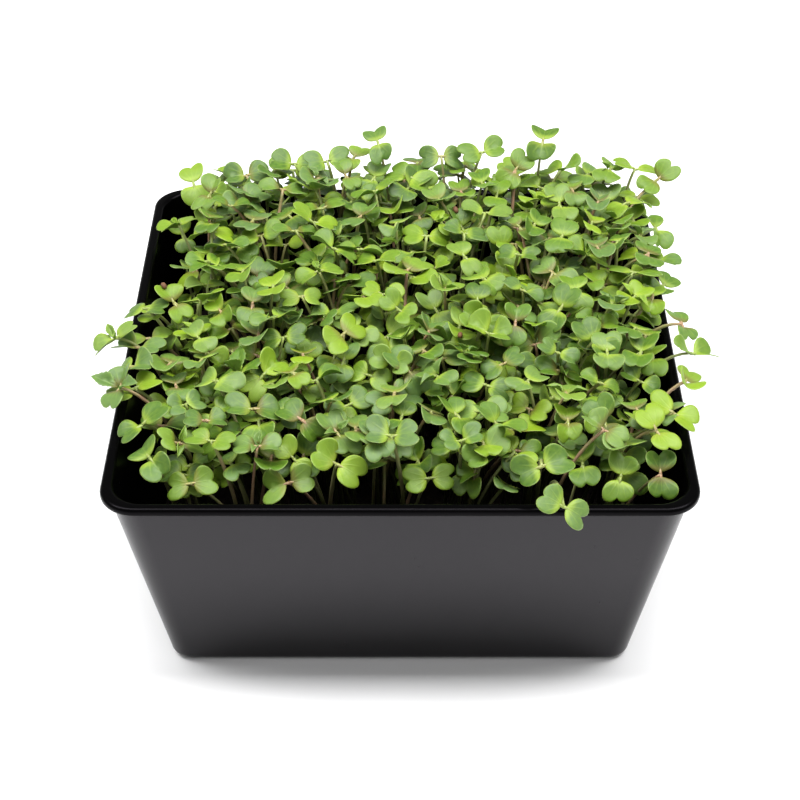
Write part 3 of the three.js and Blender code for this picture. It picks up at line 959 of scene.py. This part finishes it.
def make_medium(material):
    """The growing medium with a crumbly top, which closes over the root plugs."""
    bottom = FLOOR + GAP
    chamfer = 2.4
    corner_steps = 6
    side_parts = 26
    top_rings = 40
    top_bevel = 0.3
    lowest, highest = -1.2, 1.4  # limits of the lumps
    low_half = wall_half(bottom + chamfer) - WALL - GAP
    top_half = wall_half(MEDIUM_TOP) - WALL - GAP
    rings = [
        square_ring(low_half - chamfer, bottom, corner_radius(low_half - chamfer) + GAP, corner_steps),
        square_ring(low_half, bottom + chamfer, corner_radius(low_half) + GAP, corner_steps),
        square_ring(top_half, MEDIUM_TOP - 1, corner_radius(top_half) + GAP, corner_steps),
    ]
    smooth_rings = len(rings)
    for step in range(top_rings):
        half = (top_half - top_bevel) * (1 - step / top_rings)
        corner = (corner_radius(top_half) + GAP) * half / top_half
        rings.append(square_ring(half, MEDIUM_TOP, corner, corner_steps))
    rows = []
    for number, ring in enumerate(rings):
        row = np.array(ring)
        # each side of a ring gets points between its corners
        dense = []
        for index in range(len(row)):
            following = row[(index + 1) % len(row)]
            parts = side_parts if (index + 1) % (corner_steps + 1) == 0 else 1
            dense.extend(row[index] + (following - row[index]) * part / parts for part in range(parts))
        row = np.array(dense)
        if number >= smooth_rings:
            for point in row:
                spot = Vector(point)
                lump = noise.noise(spot * 0.35) * 0.9 + noise.noise(spot * 0.9) * 0.6
                point[2] += min(max(lump, lowest), highest)
        rows.append(row)
    count = len(rows[0])
    points = np.concatenate(rows)
    skin = Skin()
    skin.add(points, tube_faces(len(rows), count), 0, (0, 0, 0), (0, 0, 0))
    return skin.piece("growing_medium", [material])


leaf_look = leaf_material()
stem_look = stem_material()
coat_look = seed_coat_material()
wall_look = plastic_material("tray_plastic", 0.22, 1.0)
# the lip and the inside get a darker, less reflective copy of the tray plastic, as painted shade
lip_and_inside_painted_shade_look = plastic_material("tray_lip_painted_shade", 0.05, 0.1)
tray = make_tray([wall_look, lip_and_inside_painted_shade_look])
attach(tray, "root")
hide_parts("tray")

medium = make_medium(medium_material())
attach(medium, "root")
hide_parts("soil")

everyone = [seedling for clump in clumps for seedling in clump["seedlings"]]


def nearest_seedling(x, y, z):
    return min(everyone, key=lambda seedling: np.linalg.norm(seedling["crown"] - (x, y, z)))


# Seedlings that already have true leaves, as the place of the crown and the size of the leaves
TRUE_LEAVES = [(-43, -36, 80, 0.95), (-78, -33, 76, 0.9), (66, -50, 82, 0.7), (30, 10, 88, 0.6)]
# Crowns of seedlings that still carry their seed coat
SEED_COATS = [(13, -8, 84), (-66, 2, 78), (20, 40, 88)]
# The tallest seedling at the back holds its leaves nearly level
TALLEST_CROWN = (45, 65, 97)
TALLEST_LIFTS = [-16, 2]

for x, y, z, size in TRUE_LEAVES:
    nearest_seedling(x, y, z)["true_leaf"] = size
for x, y, z in SEED_COATS:
    nearest_seedling(x, y, z)["seed_coat"] = True
nearest_seedling(*TALLEST_CROWN)["lifts"] = TALLEST_LIFTS

dressing = seeded_random(5)
for clump in clumps:
    skin = Skin()
    for seedling in clump["seedlings"]:
        add_seedling(skin, seedling, dressing)
    greens = skin.piece(f"greens_{clump['number']:02d}", [leaf_look, stem_look, coat_look])
    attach(greens, "root")
    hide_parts(f"clump_{clump['number']:02d}")


# Floor, light and camera

def make_floor():
    mesh = bpy.data.meshes.new("floor")
    half = 1.1  # metres
    corners = [(-half, -half, 0), (half, -half, 0), (half, half, 0), (-half, half, 0)]
    mesh.from_pydata(corners, [], [(0, 1, 2, 3)])
    mesh.materials.append(floor_material())
    floor = bpy.data.objects.new("floor", mesh)
    bpy.context.scene.collection.objects.link(floor)


def make_light(name, place, size, watts):
    """A flat lamp of some width and depth, in metres, that faces the tray."""
    target = (0, 0, 0.05)
    lamp = bpy.data.lights.new(name, "AREA")
    lamp.shape = "RECTANGLE"
    lamp.size, lamp.size_y = size
    lamp.energy = watts
    holder = bpy.data.objects.new(name, lamp)
    holder.location = place
    holder.rotation_euler = (Vector(target) - Vector(place)).to_track_quat("-Z", "Y").to_euler()
    bpy.context.scene.collection.objects.link(holder)


make_floor()
# The key lamp is wide, so that the tray has almost no shadow at its sides
make_light("key", (0, -0.02, 1.3), (2.4, 0.42), 44)
make_light("fill", (0.1, -0.75, 1.05), (0.5, 0.5), 1.2)


def make_world():
    """White walls all round, brightest below the horizon, and a dimmer ceiling."""
    world = bpy.data.worlds.new("studio")
    world.use_nodes = True
    nodes = Nodes(world.node_tree)
    below, walls, ceiling = [(grey, grey, grey, 1) for grey in (1.45, 1, 0.45)]
    _, _, height = nodes.separate(nodes.coordinates("Generated"))
    colour = nodes.mix(nodes.step(height, 0.0, 0.5), walls, ceiling)
    colour = nodes.mix(nodes.step(height, -0.02, 0.02), below, colour)
    background = world.node_tree.nodes["Background"]
    nodes.link(colour, background.inputs["Color"])
    background.inputs["Strength"].default_value = 0.72
    bpy.context.scene.world = world


make_world()
bpy.context.scene.view_settings.view_transform = "Standard"

CAMERA_PITCH = 38.2  # degrees below level
CAMERA_DISTANCE = 561
CAMERA_TARGET_HEIGHT = 44.3
FOCAL_PIXELS = 1840  # focal length, in pixels of the picture
PICTURE_PIXELS = 800

camera_data = bpy.data.cameras.new("camera")
camera_data.sensor_width = 36  # millimetres
camera_data.lens = FOCAL_PIXELS / PICTURE_PIXELS * camera_data.sensor_width
camera = bpy.data.objects.new("camera", camera_data)
pitch = math.radians(CAMERA_PITCH)
camera.location = (
    0,
    -CAMERA_DISTANCE * math.cos(pitch) * MM,
    (CAMERA_TARGET_HEIGHT + CAMERA_DISTANCE * math.sin(pitch)) * MM,
)
camera.rotation_euler = (math.pi / 2 - pitch, 0, 0)
bpy.context.scene.collection.objects.link(camera)
bpy.context.scene.camera = camera
